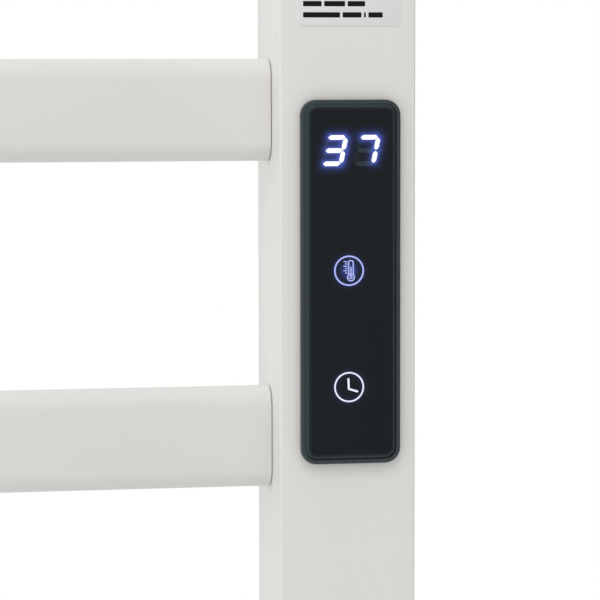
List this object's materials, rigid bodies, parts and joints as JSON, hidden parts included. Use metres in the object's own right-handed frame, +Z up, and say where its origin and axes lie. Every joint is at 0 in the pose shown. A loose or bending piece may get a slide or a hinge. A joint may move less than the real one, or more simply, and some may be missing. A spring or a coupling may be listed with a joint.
{
  "type": "electric towel rail",
  "caption": "Wall-hung electric towel rail with square uprights, flat rungs, a lit touch control and wall brackets that adjust its depth.",
  "frame": {"origin": "middle of the four wall cups, on the wall's surface", "axes": "+X to the right of a person facing the rail, +Y into the wall, +Z up"},
  "size_m": [0.52, 0.0817, 0.8131],
  "materials": {
    "powder_coat": "satin off-white powder coat over aluminium tube",
    "white_plastic": "moulded off-white plastic",
    "black_plastic": "satin black moulded plastic",
    "gloss_cover": "gloss black touch cover with lit digits and symbols",
    "dark_rubber": "closed-cell sealing foam",
    "zinc_steel": "zinc-plated steel",
    "stainless": "turned stainless steel",
    "board_green": "green solder mask on glass-fibre board",
    "nylon_cream": "natural nylon",
    "relay_blue": "blue relay case",
    "red_silicone": "silicone-sheathed heating cable",
    "label_film": "printed polyester film",
    "brass": "brass"
  },
  "bodies": {
    "wall_fixings": {"wall_cup_bottom_left": "stainless", "grub_screw_bottom_left": "zinc_steel", "wall_cup_top_left": "stainless", "grub_screw_top_left": "zinc_steel", "wall_cup_bottom_right": "stainless", "grub_screw_bottom_right": "zinc_steel", "wall_cup_top_right": "stainless", "grub_screw_top_right": "zinc_steel"},
    "rail": {"upright_left": "powder_coat", "end_cap_bottom_left": "white_plastic", "bracket_post_bottom_left": "stainless", "end_cap_top_left": "white_plastic", "bracket_post_top_left": "stainless", "connector_left_1": "nylon_cream", "connector_left_2": "nylon_cream", "connector_left_3": "nylon_cream", "connector_left_4": "nylon_cream", "connector_left_5": "nylon_cream", "connector_left_6": "nylon_cream", "connector_left_7": "nylon_cream", "connector_left_8": "nylon_cream", "upright_right": "powder_coat", "end_cap_bottom_right": "white_plastic", "bracket_post_bottom_right": "stainless", "end_cap_top_right": "white_plastic", "bracket_post_top_right": "stainless", "connector_right_1": "nylon_cream", "connector_right_2": "nylon_cream", "connector_right_3": "nylon_cream", "connector_right_4": "nylon_cream", "connector_right_5": "nylon_cream", "connector_right_6": "nylon_cream", "connector_right_7": "nylon_cream", "connector_right_8": "nylon_cream", "rung_1": "powder_coat", "rung_2": "powder_coat", "rung_3": "powder_coat", "rung_4": "powder_coat", "rung_5": "powder_coat", "rung_6": "powder_coat", "rung_7": "powder_coat", "rung_8": "powder_coat", "control_housing": "black_plastic", "control_gasket": "dark_rubber", "touch_cover": "gloss_cover", "digit_display": "black_plastic", "circuit_board": "board_green", "upper_key_spring": "brass", "lower_key_spring": "brass", "relay": "relay_blue", "terminal_block": "nylon_cream", "rating_label": "label_film", "heating_cable": "red_silicone", "temperature_sensor": "stainless", "thermal_cutout": "white_plastic", "earth_screw": "brass", "cable_gland": "white_plastic", "gland_locknut": "white_plastic"}
  },
  "joints": [
    {"name": "depth_slide", "type": "slide", "parent": "wall_fixings", "child": "rail", "axis": [0, -1, 0], "range_m": [0, 0.012]}
  ]
}
